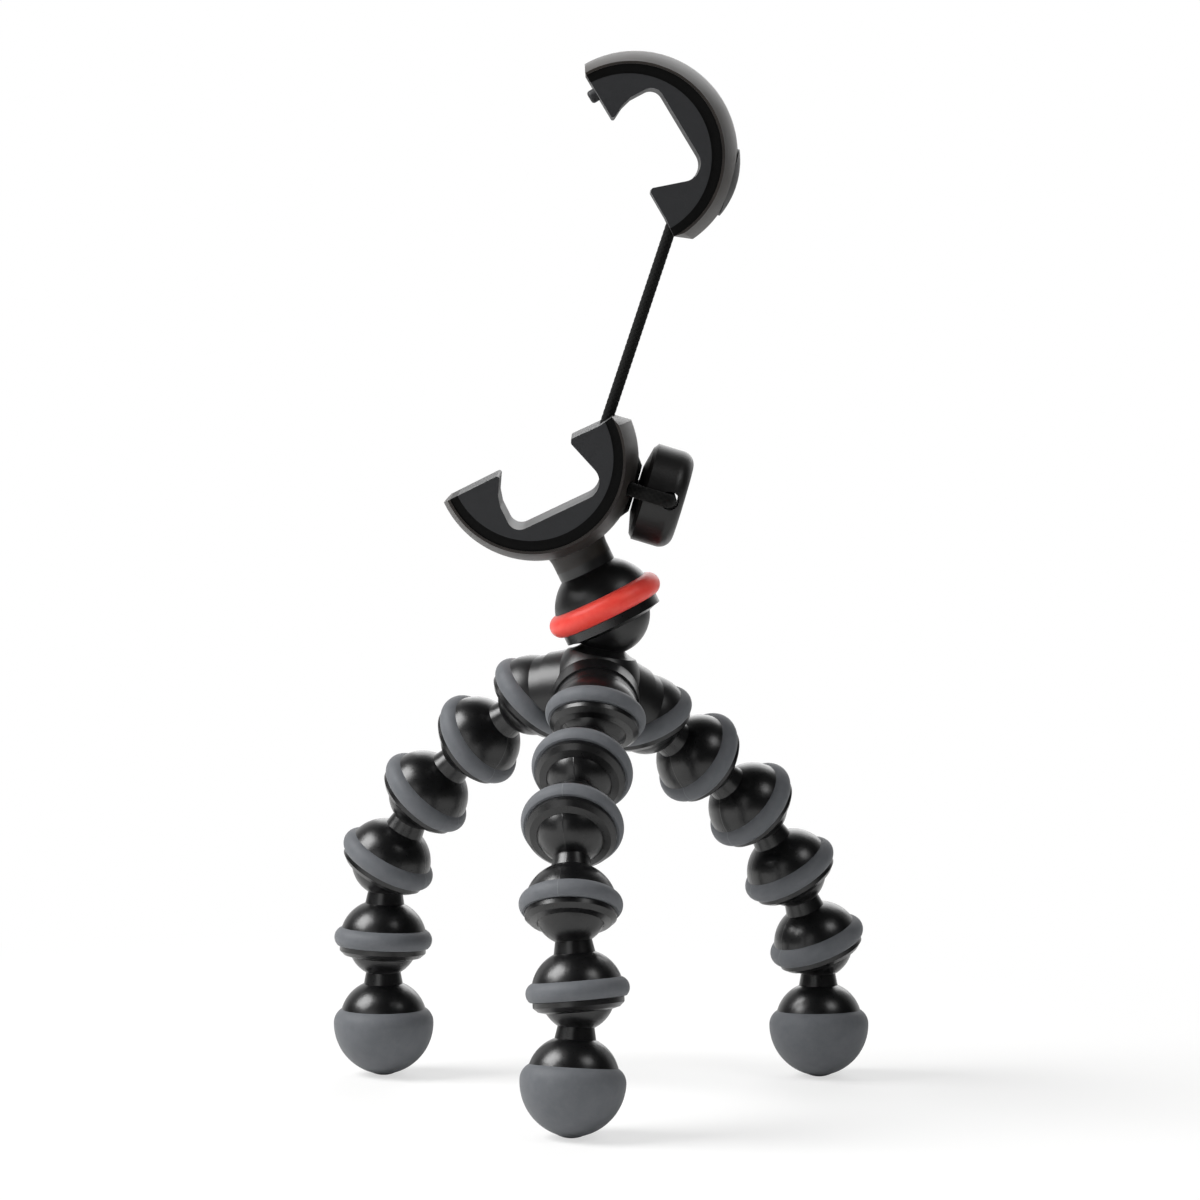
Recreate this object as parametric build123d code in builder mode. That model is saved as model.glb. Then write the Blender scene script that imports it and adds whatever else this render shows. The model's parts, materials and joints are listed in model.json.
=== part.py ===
from build123d import *
from math import cos, radians, sin, sqrt
import os

# Small flexible-leg tripod with a sprung two-jaw clamp.
# Three legs of snap-together ball links stand on rubber feet, a hub joins them,
# and a larger ball on top of the hub carries the clamp's lower jaw. The upper jaw hangs
# on a cord that runs through the lower jaw to a round pull toggle.
# Millimetres, +Z up. The origin is on the floor, under the centre of the hub.

# Leg ball joint
ball_radius = 5.65
ball_clearance = 0.05
neck_radius = 2.8
neck_flare = 0.35
neck_length = 1.85
collar_wall = 0.45
turning_fit = 0.05
skirt_wall = 0.55
lip_angle = 63.0
spigot_rise = 1.2
collar_gap = 0.1
band_step = 0.2
band_height = 0.75
lip_bevel = 0.3
lip_slope_share = 0.75
ball_flat_share = 0.8

# Leg link cup and its grip ring
dome_height = 4.05
dome_radius = 6.3
grip_above = 2.17
grip_below = 0.75
grip_stand = 1.1
grip_foot = 0.58

# Foot
boot_stand = 1.3
boot_shoulder = 2.3
boot_shoulder_radius = 2.65
boot_bulge = 8.35
boot_drop = 8.5
tip_radius = 4.58
tip_share = 0.445
boot_wall = 0.85
core_length = 6.0
core_taper_share = 0.8

# Hub
arm_radius = 6.86
arm_droop = 19.3
arm_seat = 6.23
arm_seat_height = 0.91
socket_reach = 9.91
socket_slope = 54.6
ring_offset = 0.875
core_radius = 7.5
core_centre = 1.5
core_bottom = 2.6
shoulder_radius = 5.4
shoulder_drop = 6.45
shoulder_sweep = 4.0
ring_room = 0.3
seam_step = 0.3

# Head ball and socket
head_ball_rise = 8.29
head_ball_radius = 6.45
head_neck_radius = 3.5
head_collar_wall = 0.5
head_skirt_wall = 0.7
head_lip_angle = 70.5
head_spigot_rise = 1.3
head_band_height = 1.38
head_band_step = 0.25
head_lip_bevel = 0.5
head_ring_centre = 1.6
head_ring_height = 3.5
head_ring_stand = 1.7
head_dome_height = 4.25
head_dome_radius = 8.0
head_neck_top = 9.1

# Clamp jaws
clamp_tilt = 42.65
jaw_neck_length = 4.1
jaw_width = 22.0
liner_radius = 14.1
shell_thickness = 1.95
shell_shift_back = 0.55
lower_shell_shift = 0.05
upper_shell_shift = -0.54
shell_edge = 0.4
lower_front_angle = 222.0
upper_front_angle = 224.0
jaw_back_angle = 45.3
shell_back_angle = 39.0
mouth_floor_round = 2.0
mouth_apex_round = 2.8
mouth_corner_round = 0.35
cheek_inset = 1.35
cheek_shift = 0.26
band_depth = 0.4
jaw_spread = 49.52
upper_shift = 1.09

# Neck under the lower jaw
jaw_neck_radius = 4.6
jaw_neck_ring = 1.25
jaw_neck_flare = 1.1
jaw_neck_flare_height = 3.0

# Toggle, its seat on the lower jaw, and the cord
seat_inset = 1.2
seat_slope_width = 2.85
seat_stand = 2.65
seat_height = 2.2
toggle_gap = 0.25
flange_cone = 0.75
flange_inset = 0.12
flange_cone_inset = 0.75
flange_height = 1.3
toggle_margin = 3.2
toggle_depth = 6.25
toggle_round = 2.2
toggle_hole_radius = 1.45
strand_diameter = 1.8
loop_diameter = 2.2
cord_clearance = 0.2
cord_line_share = 0.66
cord_exit_share = 0.652
cord_spacing = 6.4
cord_depth = 3.5
cord_end_gap = 0.3
loop_root = 1.95
loop_lift = 0.5
loop_exit_inset = 2.8
loop_hole = 4.0
loop_stand = 0.3
loop_bend = 2.2
loop_tight_bend = 1.9

# Cap and nub on the upper jaw
cap_radius = 5.4
cap_recess = 0.95
cap_rise = 1.5
cap_rim = 0.35
cap_stem_radius = 2.0
nub_radius = 1.05
nub_height = 1.3
nub_round = 0.5
nub_share = 0.385

# Overrun for cuts that pass right through
overrun = 4.0

# How each leg stands: for every ball, the turn about its socket and the bend across it
leg_azimuths = {"left": 153.4, "front": -86.6, "right": 33.4}
leg_bends = {
    "left": [(28, -14), (-5, 12), (-24, 15), (0, 29), (-44, 3)],
    "front": [(18, -21), (65, 3), (-61, 28), (2, 22), (73, -8)],
    "right": [(2, -30), (-29, 7), (10, 19), (20, 10), (-9, 23)],
}
head_bend = -36.0

# Sizes that follow
cavity_radius = ball_radius + ball_clearance
spigot_radius = cavity_radius + collar_wall
bore_radius = spigot_radius + turning_fit
seat_outer = bore_radius + skirt_wall
band_radius = seat_outer + band_step
ball_exit = sqrt(ball_radius**2 - neck_radius**2)
kink_height = ball_exit + neck_length
joint_pitch = kink_height + dome_height + grip_above
boot_height = boot_shoulder + boot_drop
tip_centre = kink_height + dome_height + boot_height - tip_radius
jaw_height = head_neck_top + jaw_neck_length + liner_radius
head_ball_height = arm_radius + head_ball_rise
shoulder_height = head_ball_height - shoulder_drop
shell_radius = liner_radius + shell_thickness
toggle_radius = jaw_width / 2 - toggle_margin
flange_radius = toggle_radius - flange_inset
flange_cone_radius = toggle_radius - flange_cone_inset
seat_radius = toggle_radius - seat_inset
seat_face_radius = seat_radius - seat_slope_width
loop_exit_spread = toggle_radius - loop_exit_inset
cheek_radius = liner_radius - cheek_inset
seat_face = liner_radius + seat_stand
cord_line = cord_line_share * liner_radius
cord_exit = cord_exit_share * liner_radius
ball_flat = ball_flat_share * ball_radius

os.makedirs("parts", exist_ok=True)


def turned(frame, swivel, bend):
    """A frame turned about its own axis and then bent across it."""
    turn = Location((0, 0, 0), (0, 0, swivel))
    tilt = Location((0, 0, 0), (0, bend, 0))
    return Plane(frame.location * turn * tilt)


def half_section(frame):
    """Plane through a frame's axis: local X is the radius, local Y runs along the axis."""
    return Plane(origin=frame.origin, x_dir=frame.x_dir, z_dir=-frame.y_dir)


def spin_axis(frame):
    return Axis(frame.origin, frame.z_dir)


def save(part, name):
    part.label = name
    export_step(part, f"parts/{name}.step")


# Frames: every ball's frame has its origin at the ball's centre and +Z out of the socket
def socket_frame(hub, azimuth):
    """Mouth of one of the hub's sockets, centred on the first ball of a leg."""
    around = Location((0, 0, 0), (0, 0, azimuth))
    out = Location((socket_reach, 0, 0), (0, 90 + socket_slope, 0))
    return Plane(hub.location * around * out).offset(ring_offset)


def seam_frame(hub, azimuth):
    """Face where an arm of the hub meets its socket, facing outwards along the arm."""
    around = Location((0, 0, 0), (0, 0, azimuth))
    out = Location((arm_seat, 0, arm_seat_height), (0, 90 + arm_droop, 0))
    return Plane(hub.location * around * out)


def leg_frames(hub, leg):
    """Sockets and ball frames down one leg, from the hub outwards."""
    sockets = [socket_frame(hub, leg_azimuths[leg])]
    balls = []
    for swivel, bend in leg_bends[leg]:
        ball = turned(sockets[-1], swivel, bend)
        balls.append(ball)
        sockets.append(ball.offset(joint_pitch))
    return sockets[:-1], balls


# The stance: the floor touches the round tips of all three feet
tips = [leg_frames(Plane.XY, leg)[1][-1].offset(tip_centre).origin for leg in leg_azimuths]
up = (tips[1] - tips[0]).cross(tips[2] - tips[0]).normalized()
hub_height = tip_radius - tips[0].dot(up)
floor = Plane(origin=up * -hub_height, x_dir=Vector(0, 1, 0).cross(up), z_dir=up)
hub = Plane(floor.location.inverse())

sockets = {leg: leg_frames(hub, leg)[0] for leg in leg_azimuths}
balls = {leg: leg_frames(hub, leg)[1] for leg in leg_azimuths}
head_ball = hub.offset(head_ball_height)
head_up = turned(head_ball, 0, head_bend)
head = Plane(origin=head_up.origin, x_dir=head_up.x_dir, z_dir=-head_up.z_dir)
clamp = Plane(
    head_up.location * Location((0, 0, jaw_height), (0, clamp_tilt, 0))
)
upper_clamp = Plane(
    clamp.location * Location((upper_shift, 0, jaw_spread))
)


# Profiles: each is a half section in a frame, radius first, then height along the axis
def link_face(frame):
    """Ball, neck and domed cup of one leg link, hollow for the next ball and its collar."""
    flat_radius = sqrt(ball_radius**2 - ball_flat**2)
    cup_rim = joint_pitch - grip_above
    skirt_end = joint_pitch + grip_below
    shoulder = spigot_rise + turning_fit
    with BuildSketch(half_section(frame)) as profile:
        with BuildLine():
            Polyline((0, joint_pitch - cavity_radius), (0, -ball_flat), (flat_radius, -ball_flat))
            RadiusArc((flat_radius, -ball_flat), (neck_radius, ball_exit), -ball_radius)
            Line((neck_radius, ball_exit), (neck_radius + neck_flare, kink_height))
            RadiusArc((neck_radius + neck_flare, kink_height), (seat_outer, cup_rim), -dome_radius)
            Polyline(
                (seat_outer, cup_rim),
                (seat_outer, skirt_end),
                (bore_radius, skirt_end),
                (bore_radius, joint_pitch - shoulder),
                (sqrt(cavity_radius**2 - shoulder**2), joint_pitch - shoulder),
            )
            RadiusArc(
                (sqrt(cavity_radius**2 - shoulder**2), joint_pitch - shoulder),
                (0, joint_pitch - cavity_radius),
                cavity_radius,
            )
        make_face()
    return profile.sketch


def pocket_face(frame, cavity, bore, rise, depth):
    """Hollow of a socket: round behind the ball, straight where the collar's spigot turns."""
    with BuildSketch(half_section(frame)) as profile:
        with BuildLine():
            Polyline(
                (0, -cavity),
                (0, depth),
                (bore, depth),
                (bore, -rise),
                (sqrt(cavity**2 - rise**2), -rise),
            )
            RadiusArc((sqrt(cavity**2 - rise**2), -rise), (0, -cavity), cavity)
        make_face()
    return profile.sketch


def collar_face(frame, cavity, outer, rise, top, band, height, angle, bevel):
    """Retaining collar: a spigot that turns in the socket, and the band with its round lip."""
    mouth = cavity * cos(radians(angle))
    mouth_radius = cavity * sin(radians(angle))
    inner_top = sqrt(cavity**2 - rise**2)
    edge = top + height
    with BuildSketch(half_section(frame)) as profile:
        with BuildLine():
            RadiusArc((mouth_radius, mouth), (inner_top, -rise), cavity)
            Polyline(
                (inner_top, -rise),
                (outer, -rise),
                (outer, top),
                (band, top),
                (band, edge),
                (band - (mouth - edge) * lip_slope_share, mouth - bevel),
                (mouth_radius, mouth),
            )
        make_face()
    return profile.sketch


def grip_face(frame, seat, above, below, centre, stand, foot):
    """Rubber ring stretched over a socket's skirt: tight at the top edge, full at the waist."""
    with BuildSketch(half_section(frame)) as profile:
        with BuildLine():
            ThreePointArc((seat, -above), (seat + stand, -centre), (seat + foot, below))
            Polyline((seat + foot, below), (seat, below), (seat, -above))
        make_face()
    return profile.sketch


def leg_collar(frame):
    top = grip_below + collar_gap
    return collar_face(
        frame, cavity_radius, spigot_radius, spigot_rise, top, band_radius,
        band_height, lip_angle, lip_bevel,
    )


def leg_grip(frame):
    return grip_face(
        frame, seat_outer, grip_above, grip_below, ring_offset, grip_stand, grip_foot
    )


# Leg links, their grip rings and the collars that hold each ball
for leg in leg_azimuths:
    for index, socket in enumerate(sockets[leg], start=1):
        with BuildPart() as collar:
            revolve(leg_collar(socket), axis=spin_axis(socket))
        save(collar.part, f"{leg}_collar_{index}")

    for index, ball in enumerate(balls[leg][:-1], start=2):
        with BuildPart() as cup:
            revolve(link_face(ball), axis=spin_axis(ball))
        save(cup.part, f"{leg}_cup_{index}")

        mouth = ball.offset(joint_pitch)
        with BuildPart() as ring:
            revolve(leg_grip(mouth), axis=spin_axis(mouth))
        save(ring.part, f"{leg}_ring_{index}")


# Feet: a ball stem with a plug, and a rubber boot drawn to a blunt point over it
def stem_face(frame):
    flat_radius = sqrt(ball_radius**2 - ball_flat**2)
    rim = kink_height + dome_height
    core = seat_outer - boot_wall
    with BuildSketch(half_section(frame)) as profile:
        with BuildLine():
            Polyline((0, rim + core_length), (0, -ball_flat), (flat_radius, -ball_flat))
            RadiusArc((flat_radius, -ball_flat), (neck_radius, ball_exit), -ball_radius)
            Line((neck_radius, ball_exit), (neck_radius + neck_flare, kink_height))
            RadiusArc((neck_radius + neck_flare, kink_height), (seat_outer, rim), -dome_radius)
            Polyline(
                (seat_outer, rim), (core, rim), (core * core_taper_share, rim + core_length),
                (0, rim + core_length),
            )
        make_face()
    return profile.sketch


def boot_face(frame):
    rim = kink_height + dome_height
    core = seat_outer - boot_wall
    tip = rim + boot_height
    waist = (seat_outer + boot_stand, rim + boot_shoulder)
    blunt = (tip_radius * tip_share, tip - tip_radius * (1 - sqrt(1 - tip_share**2)))
    with BuildSketch(half_section(frame)) as profile:
        with BuildLine():
            RadiusArc((seat_outer, rim), waist, -boot_shoulder_radius)
            RadiusArc(waist, blunt, -boot_bulge)
            RadiusArc(blunt, (0, tip), -tip_radius)
            Polyline(
                (0, tip), (0, rim + core_length), (core * core_taper_share, rim + core_length),
                (core, rim), (seat_outer, rim),
            )
        make_face()
    return profile.sketch


for leg in leg_azimuths:
    ankle = balls[leg][-1]
    with BuildPart() as stem:
        revolve(stem_face(ankle), axis=spin_axis(ankle))
    save(stem.part, f"{leg}_foot_stem")

    with BuildPart() as boot:
        revolve(boot_face(ankle), axis=spin_axis(ankle))
    save(boot.part, f"{leg}_foot_boot")


# Hub sockets: an elbow from the arm's end face round to the mouth
def dome_face(frame):
    """Round back of a hub socket, which also beds into the end of the arm."""
    elbow_radius = sqrt(seat_outer**2 + grip_above**2)
    with BuildSketch(half_section(frame)) as profile:
        with BuildLine():
            Polyline((0, -elbow_radius), (0, -grip_above), (seat_outer, -grip_above))
            RadiusArc((seat_outer, -grip_above), (0, -elbow_radius), elbow_radius)
        make_face()
    return profile.sketch


def skirt_face(frame):
    with BuildSketch(half_section(frame)) as profile:
        with BuildLine():
            Polyline(
                (0, -grip_above), (0, grip_below), (seat_outer, grip_below),
                (seat_outer, -grip_above), close=True,
            )
        make_face()
    return profile.sketch


def elbow(seam, socket):
    pocket = pocket_face(
        socket, cavity_radius, bore_radius, spigot_rise + turning_fit, grip_below + overrun
    )
    stub_length = (socket.origin - seam.origin).dot(seam.z_dir)
    with BuildPart() as solid:
        with BuildSketch(seam):
            Circle(arm_radius - seam_step)
        extrude(amount=stub_length)
        split(bisect_by=socket.offset(-grip_above), keep=Keep.BOTTOM)
        revolve(dome_face(socket), axis=spin_axis(socket))
        revolve(skirt_face(socket), axis=spin_axis(socket))
        revolve(pocket, axis=spin_axis(socket), mode=Mode.SUBTRACT)
    return solid.part


seams = {leg: seam_frame(hub, azimuth) for leg, azimuth in leg_azimuths.items()}
elbows = [elbow(seams[leg], sockets[leg][0]) for leg in leg_azimuths]
with BuildPart() as hub_sockets:
    for piece in elbows:
        add(piece)
save(hub_sockets.part, "hub_sockets")

hub_grips = [leg_grip(sockets[leg][0]) for leg in leg_azimuths]
with BuildPart() as hub_rings:
    for leg, face in zip(leg_azimuths, hub_grips):
        revolve(face, axis=spin_axis(sockets[leg][0]))
save(hub_rings.part, "hub_rings")


# Hub body: three arms, a round core between them and the ball that carries the head
head_exit = sqrt(head_ball_radius**2 - head_neck_radius**2)
head_flat = ball_flat_share * head_ball_radius
with BuildSketch(half_section(hub)) as core_face:
    with BuildLine():
        shoulder = (shoulder_radius, shoulder_height)
        neck_foot = (head_neck_radius, head_ball_height - head_exit)
        cap_edge = (sqrt(head_ball_radius**2 - head_flat**2), head_ball_height + head_flat)
        waist_radius = sqrt(core_radius**2 - (core_bottom + core_centre) ** 2)
        Polyline(
            (waist_radius, -core_bottom), (0, -core_bottom), (0, cap_edge[1]), cap_edge
        )
        RadiusArc(cap_edge, neck_foot, head_ball_radius)
        RadiusArc(neck_foot, shoulder, -shoulder_sweep)
        ThreePointArc(shoulder, (core_radius, core_centre), (waist_radius, -core_bottom))
    make_face()

with BuildPart() as hub_body:
    revolve(core_face.sketch, axis=spin_axis(hub))
    for leg in leg_azimuths:
        with BuildSketch(seams[leg]):
            Circle(arm_radius)
        extrude(amount=-arm_seat / cos(radians(arm_droop)))
    for leg in leg_azimuths:
        with BuildSketch(seams[leg]):
            Circle(arm_radius + ring_room)
        extrude(amount=socket_reach, mode=Mode.SUBTRACT)
        with BuildSketch(sockets[leg][0].offset(-grip_above - ring_room)):
            Circle(seat_outer + grip_stand + ring_room)
        extrude(amount=socket_reach + overrun, mode=Mode.SUBTRACT)
        revolve(dome_face(sockets[leg][0]), axis=spin_axis(sockets[leg][0]), mode=Mode.SUBTRACT)
save(hub_body.part, "hub_body")


# Head: collar on the hub's ball, socket above it and the bright ring around both
head_cavity = head_ball_radius + ball_clearance
head_spigot = head_cavity + head_collar_wall
head_bore = head_spigot + turning_fit
head_seat = head_bore + head_skirt_wall
head_above = head_ring_centre + head_ring_height / 2
head_below = head_ring_height / 2 - head_ring_centre

with BuildPart() as head_collar:
    revolve(
        collar_face(
            head, head_cavity, head_spigot, head_spigot_rise, head_below + collar_gap,
            head_seat + head_band_step, head_band_height, head_lip_angle, head_lip_bevel,
        ),
        axis=spin_axis(head),
    )
save(head_collar.part, "head_collar")

with BuildPart() as head_ring:
    revolve(
        grip_face(
            head, head_seat, head_above, head_below, head_ring_centre, head_ring_stand, grip_foot
        ),
        axis=spin_axis(head),
    )
save(head_ring.part, "head_ring")

with BuildSketch(half_section(head)) as head_face:
    with BuildLine():
        Polyline((0, head_below), (0, -head_neck_top), (jaw_neck_radius, -head_neck_top))
        Line((jaw_neck_radius, -head_neck_top), (jaw_neck_radius, -head_above - head_dome_height))
        RadiusArc(
            (jaw_neck_radius, -head_above - head_dome_height),
            (head_seat, -head_above),
            -head_dome_radius,
        )
        Polyline((head_seat, -head_above), (head_seat, head_below), (0, head_below))
    make_face()
with BuildPart() as head_socket:
    revolve(head_face.sketch, axis=spin_axis(head))
    revolve(
        pocket_face(
            head, head_cavity, head_bore, head_spigot_rise + turning_fit, head_below + overrun
        ),
        axis=spin_axis(head),
        mode=Mode.SUBTRACT,
    )
save(head_socket.part, "head_socket")


# Clamp jaws: two alike mouldings, one facing up and one facing down
strand_hole_radius = strand_diameter / 2 + cord_clearance
loop_socket_radius = loop_diameter / 2 + cord_clearance


def polar(radius, angle):
    return (radius * cos(radians(angle)), radius * sin(radians(angle)))


# Mouths of the jaws, from the back edge round to the front prong, as shares of the liner's radius
lower_mouth_shares = {
    "back edge": (0.600, 0.582),
    "horn": (0.340, 0.351),
    "horn foot": (0.355, 0.301),
    "apex": (0.915, -0.035),
    "floor": (0.036, -0.830),
    "prong foot": (-0.188, -0.589),
    "prong waist": (-0.252, -0.468),
    "prong tip": (-0.299, -0.252),
}
upper_mouth_shares = {
    "back edge": (0.567, 0.553),
    "horn": (0.328, 0.330),
    "horn foot": (0.319, 0.277),
    "apex": (0.908, -0.036),
    "floor": (0.036, -0.826),
    "prong foot": (-0.188, -0.603),
    "prong waist": (-0.252, -0.489),
    "prong tip": (-0.303, -0.317),
}


def sized(shares):
    return {name: (x * liner_radius, y * liner_radius) for name, (x, y) in shares.items()}


lower_mouth = sized(lower_mouth_shares)
upper_mouth = sized(upper_mouth_shares)
mouth_rounds = {
    "floor": mouth_floor_round,
    "apex": mouth_apex_round,
    "horn": mouth_corner_round,
    "horn foot": mouth_corner_round,
    "prong tip": mouth_corner_round,
}


def liner_outline(plane, mouth, front_angle):
    """Side outline of a liner: a round back and a mouth with a horn, a notch and a prong."""
    back_end = polar(liner_radius, jaw_back_angle)
    front_end = polar(liner_radius, front_angle)
    with BuildSketch(plane) as outline:
        with BuildLine():
            Polyline(back_end, *mouth.values(), front_end)
            CenterArc(
                (0, 0), liner_radius, front_angle, 360 + jaw_back_angle - front_angle
            )
        make_face()
        for corner, radius in mouth_rounds.items():
            point = plane.from_local_coords(mouth[corner])
            fillet(outline.vertices().sort_by_distance(point)[0], radius)
    return outline.sketch


def cord_hole_planes(frame):
    """Planes across the two cord holes of a jaw, on the liner's back edge, facing the mouth."""
    return [
        Plane(frame.location * Location((cord_line, side * cord_spacing / 2, cord_exit)))
        for side in (-1, 1)
    ]


def shell_section(plane, radius, front_angle, back, rise):
    """Sector under a shell's skin: the outer arc and the jaw's two end faces."""
    inner_back = polar(liner_radius, jaw_back_angle)
    outer_back = polar(radius, shell_back_angle)
    outer_front = polar(radius, front_angle)
    middle = (360 + shell_back_angle + front_angle) / 2
    shift = Vector(back, rise)
    crown = Vector(*polar(radius, middle)) + shift
    with BuildSketch(plane) as section:
        with BuildLine():
            ThreePointArc(Vector(*outer_front) + shift, crown, Vector(*outer_back) + shift)
            Polyline(Vector(*outer_back) + shift, inner_back, (0, 0), Vector(*outer_front) + shift)
        make_face()
    return section.sketch


def crowned_shell(frame, front_angle, rise):
    """A jaw's outer shell: lofted from thin edges to a full crown, over the round liner."""
    plane = half_section(frame)
    half = jaw_width / 2
    edge = liner_radius + shell_edge
    sections = [
        shell_section(plane.offset(-half), edge, front_angle, 0, 0),
        shell_section(plane, shell_radius, front_angle, shell_shift_back, rise),
        shell_section(plane.offset(half), edge, front_angle, 0, 0),
    ]
    with BuildPart() as shell:
        loft(sections)
        with BuildSketch(plane):
            Circle(liner_radius)
        extrude(amount=jaw_width, both=True, mode=Mode.SUBTRACT)
        for hole in cord_hole_planes(frame):
            with BuildSketch(hole.offset(-cord_depth)):
                Circle(strand_hole_radius)
            extrude(amount=cord_depth + overrun, mode=Mode.SUBTRACT)
    return shell.part


def jaw_liner(frame, mouth, front_angle):
    """Liner with raised cheeks inside a lower band along its rim, and two holes for the cord."""
    side = half_section(frame)
    with BuildPart() as liner:
        with BuildSketch(side):
            add(liner_outline(Plane.XY, mouth, front_angle))
        extrude(amount=jaw_width / 2 - band_depth, both=True)
        with BuildSketch(side):
            add(liner_outline(Plane.XY, mouth, front_angle))
            with Locations((-cheek_shift, cheek_shift)):
                Circle(cheek_radius, mode=Mode.INTERSECT)
        extrude(amount=jaw_width / 2, both=True)
        for hole in cord_hole_planes(frame):
            with BuildSketch(hole.offset(-cord_depth)):
                Circle(strand_hole_radius)
            extrude(amount=cord_depth + overrun, mode=Mode.SUBTRACT)
    return liner.part


lower_side = half_section(clamp)
upper_frame = Plane(origin=upper_clamp.origin, x_dir=upper_clamp.x_dir, z_dir=-upper_clamp.z_dir)
upper_side = half_section(upper_frame)

# Toggle axis: out of the lower jaw's back, square to the way the upper jaw slides
toggle_axis = Plane(origin=clamp.origin, x_dir=clamp.y_dir, z_dir=clamp.x_dir)
flange_face = seat_face + toggle_gap
body_face = flange_face + flange_height
loop_centre = body_face + loop_hole

with BuildSketch(half_section(toggle_axis)) as boss_face:
    with BuildLine():
        Polyline(
            (0, liner_radius - overrun), (0, seat_face), (seat_face_radius, seat_face),
            (seat_radius, seat_face - seat_height), (seat_radius, liner_radius - overrun),
            close=True,
        )
    make_face()

# Route of the cord round the toggle, in the plane across the jaw through the toggle's axis
loop_reach = toggle_radius + loop_diameter / 2 + loop_stand
loop_start = seat_face - loop_root
loop_turn = seat_face + loop_lift
loop_plane = Plane(origin=clamp.origin, x_dir=clamp.x_dir, z_dir=clamp.z_dir)
loop_route = [
    (loop_start, -loop_exit_spread),
    (loop_turn, -loop_reach),
    (loop_centre, -loop_reach),
    (loop_centre, loop_reach),
    (loop_turn, loop_reach),
    (loop_start, loop_exit_spread),
]
loop_radii = [loop_bend, loop_tight_bend, loop_tight_bend, loop_bend]
with BuildLine(loop_plane) as loop_path:
    FilletPolyline(*loop_route, radius=loop_radii)


def loop_hole_planes():
    """Planes at the bottoms of the two slanting holes that hold the ends of the loop."""
    planes = []
    for side in (-1, 1):
        end = Vector(loop_start, side * loop_exit_spread)
        way = Vector(loop_turn, side * loop_reach) - end
        start = loop_plane.from_local_coords(end - way.normalized() * cord_end_gap)
        ahead = loop_plane.from_local_coords(Vector(loop_turn, side * loop_reach))
        planes.append(Plane(origin=start, z_dir=ahead - start))
    return planes


loop_hole_length = sqrt((loop_turn - loop_start) ** 2 + (loop_reach - loop_exit_spread) ** 2)

with BuildPart() as lower_liner:
    revolve(boss_face.sketch, axis=spin_axis(toggle_axis))
    with BuildSketch(lower_side):
        Circle(liner_radius)
    extrude(amount=jaw_width, both=True, mode=Mode.SUBTRACT)
    add(jaw_liner(clamp, lower_mouth, lower_front_angle))
    for hole in loop_hole_planes():
        with BuildSketch(hole):
            Circle(loop_socket_radius)
        extrude(amount=loop_hole_length, mode=Mode.SUBTRACT)
save(lower_liner.part, "lower_jaw_liner")

neck_reach = jaw_neck_radius + jaw_neck_flare
neck_end = jaw_height - sqrt(liner_radius**2 - neck_reach**2)
with BuildSketch(half_section(head_up)) as neck_face:
    with BuildLine():
        ring_line = head_neck_top + jaw_neck_ring
        flare_top = (jaw_neck_radius + jaw_neck_flare, ring_line + jaw_neck_flare_height)
        Polyline(
            flare_top, (flare_top[0], neck_end), (0, neck_end), (0, head_neck_top),
            (jaw_neck_radius, head_neck_top), (jaw_neck_radius, ring_line),
        )
        TangentArc((jaw_neck_radius, ring_line), flare_top, tangent=(0, 1))
    make_face()

# Room in the lower shell for the toggle's seat and the ends of the loop
with BuildPart() as seat_room:
    revolve(boss_face.sketch, axis=spin_axis(toggle_axis))
    for hole in loop_hole_planes():
        with BuildSketch(hole):
            Circle(loop_socket_radius)
        extrude(amount=loop_hole_length)

with BuildPart() as lower_shell:
    add(crowned_shell(clamp, lower_front_angle, lower_shell_shift))
    revolve(neck_face.sketch, axis=spin_axis(head_up))
    with BuildSketch(lower_side):
        Circle(liner_radius)
    extrude(amount=jaw_width, both=True, mode=Mode.SUBTRACT)
    add(seat_room.part, mode=Mode.SUBTRACT)
save(lower_shell.part, "lower_jaw_shell")


# Upper jaw: the same moulding turned over, with a nub on its prong and a cap on its back
prong_end = Vector(*polar(liner_radius, upper_front_angle))
prong_tip = Vector(*upper_mouth["prong tip"])
nub_foot = prong_end + (prong_tip - prong_end) * nub_share
nub_way = (prong_tip - prong_end).rotate(Axis.Z, 90)
nub_plane = Plane(
    origin=upper_side.from_local_coords(nub_foot),
    z_dir=upper_side.from_local_coords(nub_foot + nub_way) - upper_side.from_local_coords(nub_foot),
)
with BuildPart() as nub:
    with BuildSketch(nub_plane):
        Circle(nub_radius)
    extrude(amount=nub_height)
    fillet(nub.edges().sort_by(spin_axis(nub_plane))[-1], nub_round)
with BuildPart() as upper_liner:
    add(jaw_liner(upper_frame, upper_mouth, upper_front_angle))
    add(nub.part)
save(upper_liner.part, "upper_jaw_liner")

cap_axis = Plane(upper_frame.location * Location((0, 0, upper_shell_shift), (0, 90, 0)))
cap_seat = shell_radius + shell_shift_back - cap_recess
with BuildPart() as upper_shell:
    add(crowned_shell(upper_frame, upper_front_angle, upper_shell_shift))
    with BuildSketch(cap_axis.offset(cap_seat)):
        Circle(cap_radius)
    extrude(amount=overrun, mode=Mode.SUBTRACT)
    with BuildSketch(cap_axis.offset(liner_radius - overrun)):
        Circle(cap_stem_radius)
    extrude(amount=overrun * 2, mode=Mode.SUBTRACT)
save(upper_shell.part, "upper_jaw_shell")

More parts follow.
